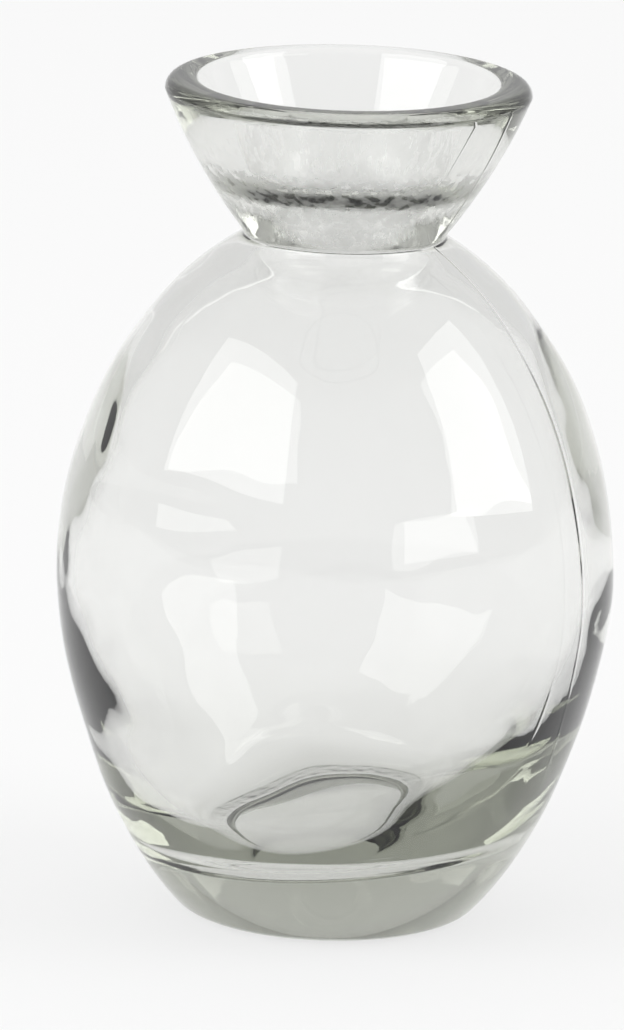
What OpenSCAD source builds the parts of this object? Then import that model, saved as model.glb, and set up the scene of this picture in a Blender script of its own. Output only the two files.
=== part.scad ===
// Small pressed-and-blown glass bud vase: one piece of clear glass with a round
// belly, a sharp crease at the neck and a flared collar. It stands on a bearing
// ring. The axis of the vase is Z, and the origin is the centre of the foot.

/* [Overall] */
// Height from the table to the top of the lip
vase_h = 110; // [91:1:132]
// Diameter of the belly at its widest
belly_d = 72.6; // [60:0.1:88]
// Height of the widest point
belly_z = 44.6; // [38:0.2:54]

/* [Foot] */
// Diameter of the flat bearing ring's outer edge
foot_d = 33.8; // [27:0.2:41]
// Radius of the rounded heel between the foot and the flank
heel_r = 4.2; // [2:0.1:6]
// Lean of the flank where it meets the heel, from upright
flank_angle = 43; // [30:1:55]
// Diameter of the hollow under the foot, inside the bearing ring
recess_d = 27.4; // [20:0.2:29]
// Depth of that hollow at its edge
recess_depth = 1.3; // [0.4:0.1:1.6]
// Width of the rounded step from the bearing ring into that hollow
recess_step = 2.2; // [0.6:0.1:3]
// Extra height of the hollow at its centre
recess_crown = 0.1; // [0:0.1:1.5]

/* [Shoulder and neck] */
// Outside diameter of the crease between the body and the collar
neck_d = 25.6; // [21.3:0.1:31]
// Slope of the shoulder where it meets the crease, from level
shoulder_angle = 30; // [20:1:40]

/* [Collar] */
// Height of the collar, from the crease to the top of the lip
collar_h = 20.3; // [18:0.1:25]
// Outside diameter of the lip
rim_d = 47.2; // [38:0.2:57]
// How far the outside of the collar bows out from a straight cone
collar_bow = 0.9; // [0:0.1:1.5]
// Width of the lip, level across its top
lip_w = 4.6; // [3.5:0.1:6]
// Radius of the lip's outer edge
lip_edge_r = 1.6; // [0.8:0.1:2]
// Radius of the lip's inner edge
lip_inner_r = 1.1; // [0.6:0.1:1.4]

/* [Bore] */
// Diameter of the throat, through which the stems pass
throat_d = 18.8; // [15:0.1:22.6]
// Height above the crease at which the throat's straight wall starts
throat_rise = 1.9; // [1:0.1:3]
// Length of the throat's straight wall
throat_len = 3.2; // [2:0.1:5]
// Diameter of the ledge at the bottom of the funnel
ledge_d = 28.6; // [24:0.2:30]
// Height of that ledge's outer edge above the top of the throat
ledge_rise = 6.2; // [4:0.1:7]

/* [Wall] */
// Thickness of the wall at the belly
wall = 3.3; // [2.5:0.1:4.5]
// Thickness that the wall grows towards at the heel
wall_low = 11.4; // [7:0.1:13]
// Thickness of the wall high on the shoulder
wall_high = 3.6; // [2.4:0.1:4.5]
// Height of the inside floor at its edge
floor_z = 11.3; // [9:0.1:13]
// Diameter of the inside floor
floor_d = 23.2; // [18:0.2:28]
// Extra height of the inside floor at its centre
floor_crown = 0.3; // [0:0.1:2]

/* [Hidden] */
glass = [0.80, 0.84, 0.81, 0.5];
round_fn = 96;
// Steps along each curve of the profile
body_steps = 20;
blend_steps = 9;
edge_steps = 6;
collar_steps = 8;
crown_steps = 5;
// Reach of each body curve's handle, as a share of the gap that the curve spans
heel_share = 0.3070;
belly_share_low = 0.2774;
belly_share_high = 0.5499;
shoulder_share = 0.2340;
// Share of each body curve that the inside wall follows
flank_follow = 0.78;
shoulder_follow = 0.80;
// Share of the gap that a blend spans with each handle: in general, and at the floor's corner
blend_share = 0.5;
corner_share = 0.4;
// Angle at which the lip's edge arc starts, above level
lip_from = 10;
// How far a cut passes the face that it opens
overlap = 1;

foot_r = foot_d / 2;
belly_r = belly_d / 2;
neck_r = neck_d / 2;
rim_r = rim_d / 2;
throat_r = throat_d / 2;
ledge_r = ledge_d / 2;
floor_r = floor_d / 2;
recess_r = recess_d / 2;
mouth_r = rim_r - lip_w;
neck_z = vase_h - collar_h;
throat_z = neck_z + throat_rise;
throat_top = throat_z + throat_len;
ledge_z = throat_top + ledge_rise;

function unit(v) = v / norm(v);
// A point on the cubic curve with ends a and d and handles b and c
function curve(a, b, c, d, t) =
    pow(1 - t, 3) * a + 3 * pow(1 - t, 2) * t * b + 3 * (1 - t) * t * t * c + pow(t, 3) * d;
// The direction of that curve
function heading(a, b, c, d, t) =
    unit(pow(1 - t, 2) * (b - a) + 2 * (1 - t) * t * (c - b) + t * t * (d - c));
function curve_points(k, steps) =
    [for (i = [0 : steps]) curve(k[0], k[1], k[2], k[3], i / steps)];
// Points on an arc, from angle a to angle b
function arc_points(centre, r, a, b, steps) =
    [for (i = [0 : steps]) centre + r * [cos(a + (b - a) * i / steps), sin(a + (b - a) * i / steps)]];
// Points on a low dome of height rise over radius r, from its edge to the axis
function crown_points(r, z, rise, steps) =
    [for (i = [0 : steps]) [r * (1 - i / steps), z + rise * (1 - pow(1 - i / steps, 2))]];
// A curve that leaves a along the direction da and arrives at b along db
function blend_points(a, da, b, db, steps, share = blend_share) =
    let (reach = share * norm(b - a))
    curve_points([a, a + reach * da, b - reach * db, b], steps);

// Outside of the body: a flank curve up to the belly, then a shoulder curve
heel_top = [foot_r + heel_r * cos(flank_angle), heel_r * (1 - sin(flank_angle))];
belly = [belly_r, belly_z];
crease = [neck_r, neck_z];
flank = [heel_top,
    heel_top + heel_share * norm(belly - heel_top) * [sin(flank_angle), cos(flank_angle)],
    belly - [0, belly_share_low * (belly_z - heel_top[1])],
    belly];
shoulder = [belly,
    belly + [0, belly_share_high * (neck_z - belly_z)],
    crease + shoulder_share * norm(crease - belly) * [cos(shoulder_angle), -sin(shoulder_angle)],
    crease];
function on_flank(t) = curve(flank[0], flank[1], flank[2], flank[3], t);
function on_shoulder(t) = curve(shoulder[0], shoulder[1], shoulder[2], shoulder[3], t);
function along_flank(t) = heading(flank[0], flank[1], flank[2], flank[3], t);
function along_shoulder(t) = heading(shoulder[0], shoulder[1], shoulder[2], shoulder[3], t);
function inward(d) = [-d[1], d[0]];

// Outside of the collar: a cone that bows out a little, up to the lip's edge
collar_top_z = vase_h - lip_edge_r;
function on_collar(t) =
    [neck_r + (rim_r - neck_r) * t + collar_bow * 4 * t * (1 - t),
        neck_z + (collar_top_z - neck_z) * t];
collar = [for (i = [1 : collar_steps]) on_collar(i / collar_steps)];

// Inside of the body: the wall's thickness inward from the outside
function low_wall(t) = wall + (wall_low - wall) * pow(1 - t, 2);
function high_wall(t) = wall + (wall_high - wall) * t;
function in_flank(t) = on_flank(t) + low_wall(t) * inward(along_flank(t));
function in_shoulder(t) = on_shoulder(t) + high_wall(t) * inward(along_shoulder(t));
flank_start = 1 - flank_follow;

// Collar's inner cone, from the lip's inner edge to the ledge
funnel_lean = unit([mouth_r - ledge_r, vase_h - lip_inner_r - ledge_z]);

module outside() {
    rotate_extrude($fn = round_fn)
        polygon(concat(
            [[0, 0]],
            arc_points([foot_r, heel_r], heel_r, -90, -flank_angle, edge_steps),
            [for (i = [1 : body_steps]) on_flank(i / body_steps)],
            [for (i = [1 : body_steps]) on_shoulder(i / body_steps)],
            collar,
            arc_points([rim_r - lip_edge_r, collar_top_z], lip_edge_r, lip_from, 90, edge_steps),
            [[0, vase_h]]));
}

// Body's hollow, up through the throat to the bottom of the ledge
module hollow() {
    top = in_shoulder(shoulder_follow);
    bottom = in_flank(flank_start);
    rotate_extrude($fn = round_fn)
        polygon(concat(
            [for (i = [crown_steps : -1 : 1]) crown_points(floor_r, floor_z, floor_crown, crown_steps)[i]],
            blend_points([floor_r, floor_z], [1, 0], bottom, along_flank(flank_start), blend_steps,
                corner_share),
            [for (i = [1 : body_steps]) in_flank(flank_start + flank_follow * i / body_steps)],
            [for (i = [1 : body_steps]) in_shoulder(shoulder_follow * i / body_steps)],
            [for (i = [1 : blend_steps])
                blend_points(top, along_shoulder(shoulder_follow), [throat_r, throat_z], [0, 1],
                    blend_steps)[i]],
            [[throat_r, throat_top], [0, throat_top]]));
}

// Funnel above the throat: the ledge, the inner cone and the lip's inner edge
module funnel() {
    mouth = [mouth_r, vase_h - lip_inner_r];
    rotate_extrude($fn = round_fn)
        polygon(concat(
            [[0, throat_z], [throat_r, throat_z]],
            blend_points([throat_r, throat_top], [0, 1], [ledge_r, ledge_z], funnel_lean, blend_steps),
            blend_points(mouth, funnel_lean, [mouth_r + lip_inner_r, vase_h], [1, 0], edge_steps),
            [[mouth_r + lip_inner_r, vase_h + overlap], [0, vase_h + overlap]]));
}

// Hollow under the foot, with a low crown
module recess() {
    rotate_extrude($fn = round_fn)
        polygon(concat(
            [[0, -overlap], [recess_r, -overlap]],
            blend_points([recess_r, 0], [-1, 0], [recess_r - recess_step, recess_depth], [-1, 0],
                edge_steps),
            [for (i = [1 : crown_steps])
                crown_points(recess_r - recess_step, recess_depth, recess_crown, crown_steps)[i]]));
}

module glass_vase() {
    color(glass)
        difference() {
            outside();
            hollow();
            funnel();
            recess();
        }
}

glass_vase();
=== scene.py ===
import math
import bpy
import numpy as np
from mathutils import Matrix, Vector, noise


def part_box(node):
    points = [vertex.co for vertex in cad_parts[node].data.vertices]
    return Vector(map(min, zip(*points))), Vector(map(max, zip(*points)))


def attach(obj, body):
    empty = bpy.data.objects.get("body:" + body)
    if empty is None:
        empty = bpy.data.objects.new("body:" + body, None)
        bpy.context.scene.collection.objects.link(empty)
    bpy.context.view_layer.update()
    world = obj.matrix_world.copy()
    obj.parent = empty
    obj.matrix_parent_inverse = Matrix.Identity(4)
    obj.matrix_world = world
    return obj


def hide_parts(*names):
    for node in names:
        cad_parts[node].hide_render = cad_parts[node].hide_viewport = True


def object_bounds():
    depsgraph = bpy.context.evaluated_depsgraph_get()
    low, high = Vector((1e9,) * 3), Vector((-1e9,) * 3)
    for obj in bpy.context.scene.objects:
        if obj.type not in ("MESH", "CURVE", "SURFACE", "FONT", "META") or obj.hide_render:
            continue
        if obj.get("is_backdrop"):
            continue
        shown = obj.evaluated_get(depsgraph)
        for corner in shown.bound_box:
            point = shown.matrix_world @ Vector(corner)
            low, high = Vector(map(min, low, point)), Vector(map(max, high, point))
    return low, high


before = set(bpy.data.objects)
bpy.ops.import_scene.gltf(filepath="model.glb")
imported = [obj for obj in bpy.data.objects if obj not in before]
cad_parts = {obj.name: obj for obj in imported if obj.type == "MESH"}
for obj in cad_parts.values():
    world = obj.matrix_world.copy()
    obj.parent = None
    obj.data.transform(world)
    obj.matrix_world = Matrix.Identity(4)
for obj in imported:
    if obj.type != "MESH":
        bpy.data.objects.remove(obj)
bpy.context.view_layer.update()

MM = 0.001

# The vase is one closed mesh. The outline of the glass, as rows of radius and height, is carried round the
# z axis, and its points are then pushed along the surface's normal, as moulded glass is never quite even.
# Lengths are in metres. An azimuth of 0 faces the camera, and 90 degrees is on the camera's right.

# ---------------------------------------------------------------- sizes of the outside
low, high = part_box("glass_vase")
VASE_H = high[2]
BELLY_R = max(high[0], high[1])
BELLY_Z = 44.6 * MM
FOOT_R = 16.9 * MM
HEEL_R = 4.2 * MM
FLANK_ANGLE = math.radians(43)
RECESS_R = 13.7 * MM
RECESS_STEP = 2.2 * MM
RECESS_DEPTH = 1.3 * MM
RECESS_CROWN = 0.1 * MM
NECK_R = 12.8 * MM
NECK_Z = 89.7 * MM
SHOULDER_ANGLE = math.radians(30)
CREASE_FILLET = 0.35 * MM
RIM_R = 23.6 * MM
COLLAR_BOW = 0.9 * MM
LIP_W = 4.6 * MM
LIP_EDGE_R = 1.6 * MM
LIP_EDGE_START = math.radians(5)
LIP_INNER_R = 1.1 * MM
# how far each handle of the body's two curves reaches
HEEL_PULL = 14.2 * MM
BELLY_PULL_LOW = 12.0 * MM
BELLY_PULL_HIGH = 24.8 * MM
SHOULDER_PULL = 11.9 * MM

# ---------------------------------------------------------------- sizes of the inside
THROAT_R = 9.4 * MM
THROAT_Z = 91.6 * MM
THROAT_LEN = 3.2 * MM
THROAT_TOP = THROAT_Z + THROAT_LEN
LEDGE_R = 14.3 * MM
LEDGE_RISE = 6.2 * MM
LEDGE_TOP = THROAT_TOP + LEDGE_RISE
WALL = 3.3 * MM
WALL_LOW = 11.4 * MM
WALL_HIGH = 3.6 * MM
FLOOR_Z = 11.3 * MM
FLOOR_R = 11.6 * MM
FLOOR_CROWN = 0.3 * MM
# shares of the two body curves that the inside wall follows
FLANK_FOLLOW = 0.78
SHOULDER_FOLLOW = 0.80
BLEND_SHARE = 0.5
CORNER_SHARE = 0.40

RIGHT = np.array((1.0, 0.0))
DOWN = np.array((0.0, -1.0))
SAME_POINT = 1e-7


# ---------------------------------------------------------------- curves of the outline
def point(r, z):
    return np.array((r, z), float)


def unit(v):
    return v / np.linalg.norm(v)


def shares(steps, start=0.0, end=1.0):
    return np.linspace(start, end, steps + 1)


def straight(a, b, steps):
    return np.linspace(a, b, steps + 1)


def curve(k, t):
    """Points at t on the cubic with control points k."""
    t = np.asarray(t, float)[:, None]
    return (1 - t) ** 3 * k[0] + 3 * (1 - t) ** 2 * t * k[1] + 3 * (1 - t) * t**2 * k[2] + t**3 * k[3]


def heading(k, t):
    """Unit directions along the cubic at t."""
    t = np.asarray(t, float)[:, None]
    d = (1 - t) ** 2 * (k[1] - k[0]) + 2 * (1 - t) * t * (k[2] - k[1]) + t**2 * (k[3] - k[2])
    return d / np.linalg.norm(d, axis=1)[:, None]


def inward(d):
    """Each direction turned a quarter to the left: from the outside of the body into the glass."""
    return np.stack([-d[:, 1], d[:, 0]], axis=1)


def arc(centre, r, a, b, steps):
    t = np.linspace(a, b, steps + 1)
    return centre + r * np.stack([np.cos(t), np.sin(t)], axis=1)


def crown(r, z, rise, steps):
    """From radius r to the axis, rising on the way as a shallow dome."""
    t = shares(steps)
    return np.stack([r * (1 - t), z + rise * (1 - (1 - t) ** 2)], axis=1)


def blend(a, da, b, db, steps, share=BLEND_SHARE):
    """A cubic that leaves a along da and reaches b along db."""
    reach = share * np.linalg.norm(b - a)
    return curve([a, a + reach * da, b - reach * db, b], shares(steps))


# ---------------------------------------------------------------- outline of the glass
def flank_curve():
    """The lower half of the body, from the top of the heel to the belly."""
    heel_top = point(FOOT_R + HEEL_R * math.cos(FLANK_ANGLE), HEEL_R * (1 - math.sin(FLANK_ANGLE)))
    belly = point(BELLY_R, BELLY_Z)
    leave = point(math.sin(FLANK_ANGLE), math.cos(FLANK_ANGLE))
    return [heel_top, heel_top + HEEL_PULL * leave, belly - point(0, BELLY_PULL_LOW), belly]


def shoulder_curve():
    """The upper half of the body, from the belly to the crease."""
    belly = point(BELLY_R, BELLY_Z)
    crease = point(NECK_R, NECK_Z)
    arrive = point(math.cos(SHOULDER_ANGLE), -math.sin(SHOULDER_ANGLE))
    return [belly, belly + point(0, BELLY_PULL_HIGH), crease + SHOULDER_PULL * arrive, crease]


def foot():
    """From the axis under the foot to the heel."""
    hollow_edge = point(RECESS_R - RECESS_STEP, RECESS_DEPTH)
    ring_edge = point(RECESS_R, 0)
    yield "recess", crown(RECESS_R - RECESS_STEP, RECESS_DEPTH, RECESS_CROWN, 8)[::-1]
    yield "recess_edge", blend(hollow_edge, RIGHT, ring_edge, RIGHT, 10)
    yield "bearing", straight(ring_edge, point(FOOT_R, 0), 11)
    yield "heel", arc(point(FOOT_R, HEEL_R), HEEL_R, -math.pi / 2, -FLANK_ANGLE, 9)


def outside():
    """Up the body and the collar to the outer edge of the lip. The crease is a tight fillet."""
    crease = point(NECK_R, NECK_Z)
    collar_top = VASE_H - LIP_EDGE_R
    t = shares(25)
    across = NECK_R + (RIM_R - NECK_R) * t + COLLAR_BOW * 4 * t * (1 - t)
    collar = np.stack([across, NECK_Z + (collar_top - NECK_Z) * t], axis=1)
    shoulder = curve(shoulder_curve(), shares(47))
    shoulder = shoulder[np.linalg.norm(shoulder - crease, axis=1) > CREASE_FILLET]
    collar = collar[np.linalg.norm(collar - crease, axis=1) > CREASE_FILLET]
    arrive = unit(shoulder[-1] - shoulder[-2])
    leave = unit(collar[1] - collar[0])
    yield "outside", curve(flank_curve(), shares(33))
    yield "outside", shoulder
    yield "crease", blend(shoulder[-1], arrive, collar[0], leave, 5)
    yield "collar", collar
    yield "lip", arc(point(RIM_R - LIP_EDGE_R, collar_top), LIP_EDGE_R, LIP_EDGE_START, math.pi / 2, 10)


def mouth():
    """Over the lip and down the funnel, the ledge and the throat."""
    mouth_r = RIM_R - LIP_W
    inner_edge = point(mouth_r + LIP_INNER_R, VASE_H)
    funnel_top = point(mouth_r, VASE_H - LIP_INNER_R)
    ledge = point(LEDGE_R, LEDGE_TOP)
    throat = point(THROAT_R, THROAT_TOP)
    lean = unit(ledge - funnel_top)
    yield "lip", straight(point(RIM_R - LIP_EDGE_R, VASE_H), inner_edge, 3)
    yield "lip", blend(inner_edge, -RIGHT, funnel_top, lean, 8)
    yield "funnel", straight(funnel_top, ledge, 17)
    yield "ledge", blend(ledge, lean, throat, DOWN, 26)
    yield "throat", straight(throat, point(THROAT_R, THROAT_Z), 7)


def hollow():
    """Down the inside of the body to the axis on the floor inside."""
    shoulder = shoulder_curve()
    flank = flank_curve()
    flank_end = 1 - FLANK_FOLLOW
    t = shares(45, SHOULDER_FOLLOW, 0)
    thick = WALL + (WALL_HIGH - WALL) * t
    upper = curve(shoulder, t) + thick[:, None] * inward(heading(shoulder, t))
    t = shares(33, 1, flank_end)
    thick = WALL + (WALL_LOW - WALL) * (1 - t) ** 2
    lower = curve(flank, t) + thick[:, None] * inward(heading(flank, t))
    upper_way = -heading(shoulder, [SHOULDER_FOLLOW])[0]
    lower_way = -heading(flank, [flank_end])[0]
    yield "inside", blend(point(THROAT_R, THROAT_Z), DOWN, upper[0], upper_way, 24)
    yield "inside", upper
    yield "inside", lower
    yield "corner", blend(lower[-1], lower_way, point(FLOOR_R, FLOOR_Z), -RIGHT, 26, CORNER_SHARE)
    yield "floor", crown(FLOOR_R, FLOOR_Z, FLOOR_CROWN, 14)


def outline():
    """The name of the stretch that each point is on, and the points, in order."""
    names = []
    rows = []
    for stretch in (foot, outside, mouth, hollow):
        for name, pts in stretch():
            if rows and np.linalg.norm(pts[0] - rows[-1][-1]) < SAME_POINT:
                pts = pts[1:]
            names += [name] * len(pts)
            rows.append(pts)
    return np.array(names), np.concatenate(rows)


# ---------------------------------------------------------------- unevenness of the moulded glass
SEED = Vector((3.1, 7.4, 1.9))
ROUND_STEPS = 200
# slow waves on both sides of the wall: height, length, and the heights they fade between
WAVE = 0.16 * MM
WAVE_SIZE = 15 * MM
RIPPLE_SHARE = 0.4
RIPPLE_SIZE = 6 * MM
OUTER_WAVE = 0.45 * MM
OUTER_SIZE = 14 * MM
WAVE_FROM = 14 * MM
WAVE_TO = VASE_H - 22 * MM
OUTER_TO = NECK_Z - 4 * MM
# the two mould seams
SEAM_AZIMUTH = math.radians(62)
SEAM_H = 0.10 * MM
SEAM_W = math.radians(0.55)
SEAM_SHARES = (1.0, 0.25)
SEAM_FROM = 18 * MM
SEAM_EVEN = 0.55
SEAM_PATCHY = 0.8
SEAM_PATCH = 11 * MM
# columns of the mesh at a seam, how many seam widths they reach each way, and how far the others keep off
SEAM_COLUMNS = 17
SEAM_REACH = 3
SEAM_CLEAR = 3.6
# the stippled foot ring and the wrinkled ledge
KNURL = 0.10 * MM
KNURL_SIZE = 0.7 * MM
GRAIN = 0.10 * MM
GRAIN_SIZE = 0.9 * MM
GRAIN_LEAST = 0.3
# the two bands of the ledge where the wrinkles are highest: middle and half width
GRAIN_BANDS = ((LEDGE_TOP, 0.7 * MM), (THROAT_TOP + 1.4 * MM, 0.8 * MM))
# the hollow is not quite true to the outside: it is shifted, and its floor is tilted
SETTLE_Z = 30 * MM
CAVITY_SHIFT = -1.0 * MM
FLOOR_TILT = (0.085, 0.06)
# thick places on the inside of the wall, put where they bend the edges' dark streaks most as the
# photograph shows them: azimuth, height, spread round the wall, spread up it, thickness
LUMPS = (
    (-93, 62, 16, 8, 1.5),
    (-40, 59, 30, 2.2, 0.35),
    (96, 61, 16, 9, 0.9),
    (88, 41, 12, 3, 0.6),
)


def bell(d, width):
    return np.exp(-((d / width) ** 2))


def smooth(t):
    t = np.clip(t, 0, 1)
    return t * t * (3 - 2 * t)


def rising(value, start, length):
    """0 up to the start, then smoothly to 1 over the length."""
    return smooth((value - start) / length)


def falling(value, end, length):
    """0 past the end, and smoothly up to 1 at the length before it."""
    return smooth((end - value) / length)


def turned(a, b):
    """The shortest angle from b to a."""
    return (a - b + math.pi) % (2 * math.pi) - math.pi


def field(p, size, offset):
    """Smooth noise at every point of p, with patches of the given size."""
    flat = p.reshape(-1, 3)
    out = [noise.noise(Vector(q) / size + SEED * offset) for q in flat]
    return np.array(out).reshape(p.shape[:-1])


def round_angles():
    """Azimuths of the mesh's columns, closer together at the two mould seams."""
    seams = (SEAM_AZIMUTH, SEAM_AZIMUTH + math.pi)
    fine = np.linspace(-SEAM_REACH, SEAM_REACH, SEAM_COLUMNS) * SEAM_W
    coarse = np.linspace(0, 2 * math.pi, ROUND_STEPS, endpoint=False)
    clear = [a for a in coarse if min(abs(turned(a, s)) for s in seams) > SEAM_CLEAR * SEAM_W]
    angles = np.concatenate([clear] + [s + fine for s in seams])
    return np.sort(angles % (2 * math.pi))


def thickening(names, co, r, z, angles):
    """How far each point is pushed out of the glass, by row and column."""
    def on(*which):
        return np.isin(names, which)[:, None]

    inside = on("inside", "corner", "floor")
    waves = field(co * (1, 1, 0.8), WAVE_SIZE, 1.0) + RIPPLE_SHARE * field(co, RIPPLE_SIZE, 2.0)
    push = inside * rising(z, WAVE_FROM, 10 * MM) * falling(z, WAVE_TO, 8 * MM) * WAVE * waves
    for azimuth, height, wide, tall, thick in LUMPS:
        d = turned(angles, math.radians(azimuth))[None]
        push += inside * thick * MM * bell(d, math.radians(wide)) * bell(z - height * MM, tall * MM)
    # the outside is only ever pushed in, so that it stays within the CAD's box
    body = rising(z, WAVE_FROM, 10 * MM) * falling(z, OUTER_TO, 10 * MM)
    push -= on("outside") * body * OUTER_WAVE * (0.5 + 0.5 * field(co, OUTER_SIZE, 6.0))
    for side, share in enumerate(SEAM_SHARES):
        d = turned(angles, SEAM_AZIMUTH + side * math.pi)[None]
        ridge = bell(d, SEAM_W) * (SEAM_EVEN + SEAM_PATCHY * field(co * (0, 0, 1), SEAM_PATCH, 5.0))
        push += on("outside", "collar") * share * SEAM_H * ridge * rising(z, SEAM_FROM, 14 * MM)
    push -= on("bearing") * KNURL * (0.5 + 0.5 * field(co, KNURL_SIZE, 3.0))
    rough = GRAIN_LEAST + sum(bell(z - middle, half) for middle, half in GRAIN_BANDS)
    push += on("ledge") * GRAIN * rough * field(co, GRAIN_SIZE, 4.0)
    return push


def vase_points():
    """Points of the mesh by row of the outline and column round the axis, without the two on the axis."""
    names, pts = outline()
    names = names[1:-1]
    ring = pts[1:-1]
    angles = round_angles()
    out = np.stack([np.sin(angles), -np.cos(angles), 0 * angles], axis=1)
    r = ring[:, 0][:, None]
    z = ring[:, 1][:, None]
    co = r[:, :, None] * out[None]
    co[:, :, 2] = z
    along = np.gradient(ring, axis=0)
    along /= np.linalg.norm(along, axis=1)[:, None]
    normal = along[:, 1][:, None, None] * out[None]
    normal[:, :, 2] = -along[:, 0][:, None]
    co = co + thickening(names, co, r, z, angles)[:, :, None] * normal

    inside = np.isin(names, ("inside", "corner", "floor"))[:, None]
    settle = inside * falling(z, SETTLE_Z, 12 * MM)
    lift = settle * falling(r, 30 * MM, 16 * MM)
    co[:, :, 2] += lift * (FLOOR_TILT[0] * co[:, :, 0] + FLOOR_TILT[1] * co[:, :, 1])
    co[:, :, 0] += settle * CAVITY_SHIFT
    return co


def build_vase():
    """The closed mesh: rows of quads, and a fan of triangles round each of the two points on the axis."""
    co = vase_points()
    rows, columns = co.shape[:2]
    ends = co[[0, -1]].mean(axis=1)
    verts = np.concatenate([co.reshape(-1, 3), ends])
    under = len(verts) - 2
    floor_top = len(verts) - 1
    last_row = (rows - 1) * columns
    faces = []
    for a in range(0, last_row, columns):
        b = a + columns
        for j in range(columns):
            k = (j + 1) % columns
            faces.append((a + j, a + k, b + k, b + j))
    for j in range(columns):
        k = (j + 1) % columns
        faces.append((under, k, j))
        faces.append((last_row + j, last_row + k, floor_top))
    mesh = bpy.data.meshes.new("vase_glass")
    mesh.from_pydata(verts.tolist(), [], faces)
    mesh.validate()
    mesh.polygons.foreach_set("use_smooth", [True] * len(mesh.polygons))
    mesh.update()
    ob = bpy.data.objects.new("vase_glass", mesh)
    bpy.context.collection.objects.link(ob)
    return ob


# ---------------------------------------------------------------- glass
GLASS_IOR = 1.52
TINT = (0.27, 0.30, 0.18, 1)
TINT_DENSITY = 20.0
LEDGE_ROUGH = 0.5
RING_ROUGH = 0.15
MOTTLE_SCALE = 900


def set_range(node, source_low, source_high, a, b):
    for key, value in zip(("From Min", "From Max", "To Min", "To Max"), (source_low, source_high, a, b)):
        node.inputs[key].default_value = value


def glass_material():
    """Clear glass with a faint tint in its depth, matt on the ledge and slightly matt on the foot ring."""
    mat = bpy.data.materials.new("clear_glass")
    mat.use_nodes = True
    nt = mat.node_tree
    glass = nt.nodes["Principled BSDF"]
    glass.inputs["Base Color"].default_value = (1, 1, 1, 1)
    glass.inputs["IOR"].default_value = GLASS_IOR
    glass.inputs["Transmission Weight"].default_value = 1.0

    def ramp(source, source_low, source_high, a, b):
        node = nt.nodes.new("ShaderNodeMapRange")
        set_range(node, source_low, source_high, a, b)
        nt.links.new(source, node.inputs["Value"])
        return node.outputs["Result"]

    def combine(operation, a, b):
        node = nt.nodes.new("ShaderNodeMath")
        node.operation = operation
        nt.links.new(a, node.inputs[0])
        nt.links.new(b, node.inputs[1])
        return node.outputs[0]

    place = nt.nodes.new("ShaderNodeTexCoord").outputs["Object"]
    axes = nt.nodes.new("ShaderNodeSeparateXYZ")
    nt.links.new(place, axes.inputs[0])
    height = axes.outputs["Z"]
    level = nt.nodes.new("ShaderNodeVectorMath")
    level.operation = "MULTIPLY"
    level.inputs[1].default_value = (1, 1, 0)
    nt.links.new(place, level.inputs[0])
    length = nt.nodes.new("ShaderNodeVectorMath")
    length.operation = "LENGTH"
    nt.links.new(level.outputs[0], length.inputs[0])
    radius = length.outputs["Value"]

    above_throat = ramp(height, THROAT_TOP - 1.0 * MM, THROAT_TOP + 0.4 * MM, 0, 1)
    below_funnel = ramp(height, LEDGE_TOP - 0.4 * MM, LEDGE_TOP + 1.6 * MM, 1, 0)
    bore = ramp(radius, LEDGE_R + 0.8 * MM, LEDGE_R + 1.2 * MM, LEDGE_ROUGH, 0)
    mottle = nt.nodes.new("ShaderNodeTexNoise")
    mottle.inputs["Scale"].default_value = MOTTLE_SCALE
    mottle.inputs["Detail"].default_value = 2
    nt.links.new(place, mottle.inputs["Vector"])
    patchy = ramp(mottle.outputs[0], 0.4, 0.6, 0.35, 1)
    ledge = combine("MULTIPLY", above_throat, below_funnel)
    ledge = combine("MULTIPLY", combine("MULTIPLY", ledge, bore), patchy)
    under = ramp(height, 0.2 * MM, 0.5 * MM, RING_ROUGH, 0)
    out_on_ring = ramp(radius, RECESS_R - 1.5 * MM, RECESS_R - 0.5 * MM, 0, 1)
    ring = combine("MULTIPLY", under, out_on_ring)
    nt.links.new(combine("ADD", ledge, ring), glass.inputs["Roughness"])

    depth = nt.nodes.new("ShaderNodeVolumeAbsorption")
    depth.inputs["Color"].default_value = TINT
    depth.inputs["Density"].default_value = TINT_DENSITY
    nt.links.new(depth.outputs[0], nt.nodes["Material Output"].inputs["Volume"])
    return mat


vase = build_vase()
vase.data.materials.append(glass_material())
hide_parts("glass_vase")
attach(vase, "root")

# ---------------------------------------------------------------- table
TABLE_HALF = 4.0
TABLE_ALBEDO = 0.90
TABLE_OPAL = 0.62


def table():
    """A plain table of opal sheet: it takes light from above and from below."""
    s = TABLE_HALF
    mesh = bpy.data.meshes.new("floor")
    mesh.from_pydata([(-s, -s, 0), (s, -s, 0), (s, s, 0), (-s, s, 0)], [], [(0, 1, 2, 3)])
    ob = bpy.data.objects.new("floor", mesh)
    bpy.context.collection.objects.link(ob)
    mat = bpy.data.materials.new("pale_floor")
    mat.use_nodes = True
    nt = mat.node_tree
    nt.nodes.clear()
    diffuse = nt.nodes.new("ShaderNodeBsdfDiffuse")
    opal = nt.nodes.new("ShaderNodeBsdfTranslucent")
    mix = nt.nodes.new("ShaderNodeMixShader")
    out = nt.nodes.new("ShaderNodeOutputMaterial")
    for node in (diffuse, opal):
        node.inputs["Color"].default_value = (TABLE_ALBEDO, TABLE_ALBEDO, TABLE_ALBEDO, 1)
    mix.inputs["Fac"].default_value = TABLE_OPAL
    nt.links.new(diffuse.outputs[0], mix.inputs[1])
    nt.links.new(opal.outputs[0], mix.inputs[2])
    nt.links.new(mix.outputs[0], out.inputs["Surface"])
    mesh.materials.append(mat)
    ob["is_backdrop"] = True


table()

# ---------------------------------------------------------------- softboxes
LIGHT_D = 1.6


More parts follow.
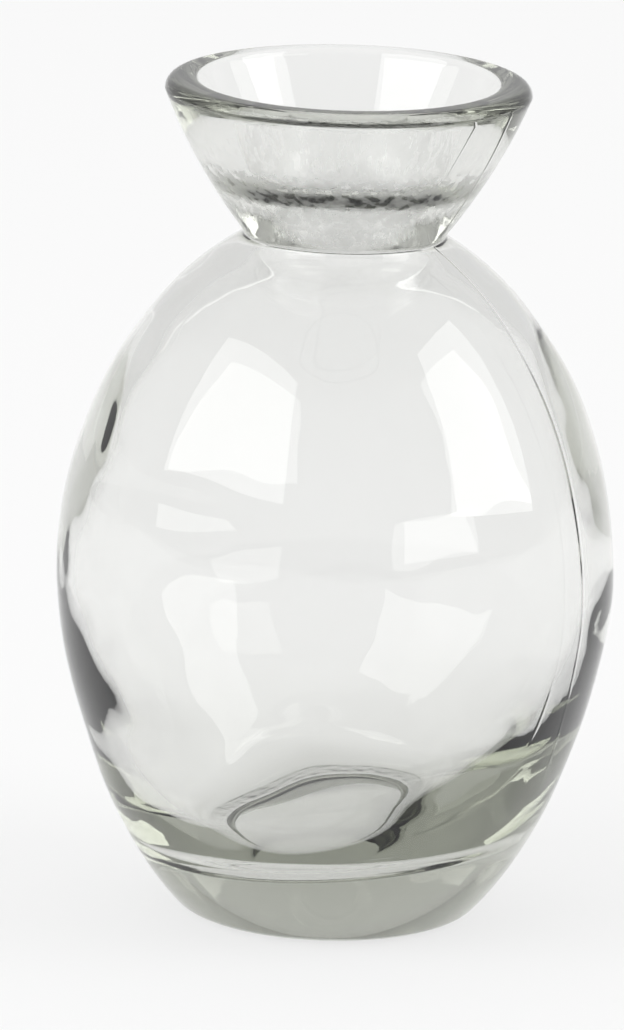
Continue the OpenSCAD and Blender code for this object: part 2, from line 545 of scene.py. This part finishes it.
def panel(name, azimuth, bottom, top, width, spin, radiance):
    """A softbox facing the vase's axis. Bottom, top and width are shares of its distance."""
    a = math.radians(azimuth)
    away = Vector((math.sin(a), -math.cos(a), 0))
    light = bpy.data.lights.new(name, "AREA")
    light.shape = "RECTANGLE"
    light.size = width * LIGHT_D
    light.size_y = (top - bottom) * LIGHT_D
    light.energy = radiance * light.size * light.size_y * math.pi
    ob = bpy.data.objects.new(name, light)
    bpy.context.collection.objects.link(ob)
    ob.location = away * LIGHT_D + Vector((0, 0, (bottom + top) / 2 * LIGHT_D))
    ob.rotation_mode = "QUATERNION"
    turn = Matrix.Rotation(math.radians(spin), 4, away).to_quaternion()
    ob.rotation_quaternion = turn @ away.to_track_quat("Z", "Y")


panel("softbox_left", azimuth=-58, bottom=0.38, top=1.38, width=1.17, spin=10, radiance=2.0)
panel("softbox_right", azimuth=79, bottom=0.20, top=1.32, width=0.73, spin=-11, radiance=2.1)
panel("card_right", azimuth=45, bottom=0.08, top=0.28, width=0.60, spin=0, radiance=1.6)

# ---------------------------------------------------------------- studio round the table
WORLD_BACK = 0.79
WORLD_FRONT = 0.42
WORLD_BELOW = 1.2
HORIZON = (-0.02, 0.0)


def studio():
    """A pale room, darker on the camera's side, with even light from under the table."""
    world = bpy.data.worlds.new("studio")
    bpy.context.scene.world = world
    world.use_nodes = True
    nt = world.node_tree
    coord = nt.nodes.new("ShaderNodeTexCoord")
    axes = nt.nodes.new("ShaderNodeSeparateXYZ")
    nt.links.new(coord.outputs["Generated"], axes.inputs[0])

    def ramp(axis, source_low, source_high, a, b):
        node = nt.nodes.new("ShaderNodeMapRange")
        node.interpolation_type = "SMOOTHSTEP"
        set_range(node, source_low, source_high, a, b)
        nt.links.new(axes.outputs[axis], node.inputs["Value"])
        return node.outputs["Result"]

    def combine(operation, a, b):
        node = nt.nodes.new("ShaderNodeMath")
        node.operation = operation
        nt.links.new(a, node.inputs[0])
        nt.links.new(b, node.inputs[1])
        return node.outputs[0]

    room = ramp("Y", -0.3, 0.6, WORLD_FRONT, WORLD_BACK)
    sky = ramp("Z", *HORIZON, 0.0, 1.0)
    below = ramp("Z", *HORIZON, WORLD_BELOW, 0.0)
    light = combine("ADD", combine("MULTIPLY", room, sky), below)
    nt.links.new(light, nt.nodes["Background"].inputs["Color"])


studio()

# ---------------------------------------------------------------- camera
# distance in vase heights, the vase's height as a share of the picture's, and how far off centre it stands
DISTANCE = 12
VASE_SHARE = 0.82447
PAN = (0.02417, 0.01951)
ELEVATION = math.radians(13.96)
ROLL = math.radians(1.69)
SENSOR = 36
FOCAL = VASE_SHARE * DISTANCE


def camera():
    """Looks at the middle of the vase from a little above, turned so that the vase stands off centre."""
    data = bpy.data.cameras.new("camera")
    cam = bpy.data.objects.new("camera", data)
    bpy.context.collection.objects.link(cam)
    bpy.context.scene.camera = cam
    data.sensor_width = SENSOR
    data.lens = FOCAL * SENSOR
    data.clip_start = 0.01
    data.clip_end = 100
    forward = Vector((0, math.cos(ELEVATION), -math.sin(ELEVATION)))
    right = Vector((1, 0, 0))
    up = right.cross(forward)
    rolled_right = math.cos(ROLL) * right + math.sin(ROLL) * up
    rolled_up = math.cos(ROLL) * up - math.sin(ROLL) * right
    look = (forward - rolled_right * PAN[0] / FOCAL - rolled_up * PAN[1] / FOCAL).normalized()
    side = look.cross(rolled_up).normalized()
    cam.location = Vector((0, 0, VASE_H / 2)) - forward * DISTANCE * VASE_H
    cam.rotation_mode = "QUATERNION"
    cam.rotation_quaternion = Matrix((side, side.cross(look), -look)).transposed().to_quaternion()


camera()

# ---------------------------------------------------------------- light paths
# Thick glass goes black unless light may bounce many times in it. The glossy limit is lower on purpose:
# the dark streaks at the body's edges are partly paths that it cuts short, and fade without it.
BOUNCES = 24
GLOSSY = 9
paths = bpy.context.scene.cycles
paths.max_bounces = BOUNCES
paths.glossy_bounces = GLOSSY
paths.transmission_bounces = BOUNCES
bpy.context.scene.view_settings.view_transform = "Standard"

low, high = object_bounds()
